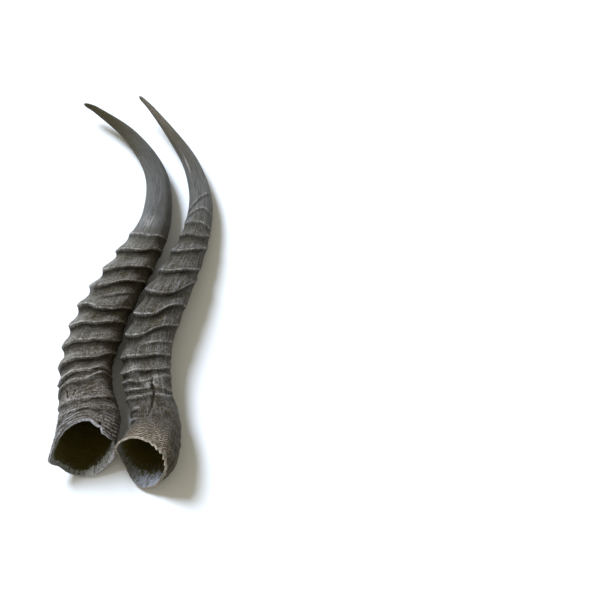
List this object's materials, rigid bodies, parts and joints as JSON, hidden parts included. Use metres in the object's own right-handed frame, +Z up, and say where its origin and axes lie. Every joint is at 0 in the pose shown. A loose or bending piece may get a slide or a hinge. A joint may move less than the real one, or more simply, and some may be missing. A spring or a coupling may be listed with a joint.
{
  "type": "pair of springbok horns",
  "caption": "Pair of loose springbok horns lying side by side: hollow, ringed below and smooth above, each leaning one way and hooking back to a fine tip.",
  "frame": {"origin": "on the surface the horns lie on, under the middle of the pair", "axes": "+X to the right, from the thicker horn to the slimmer one, +Y from the open bases towards the tips, +Z up"},
  "size_m": [0.1138, 0.3362, 0.04],
  "materials": {
    "horn": "natural dark grey-brown horn, dull to semi-matte, ridged and finely grooved"
  },
  "bodies": {
    "root": {"horn_left": "horn", "horn_right": "horn"}
  },
  "joints": []
}
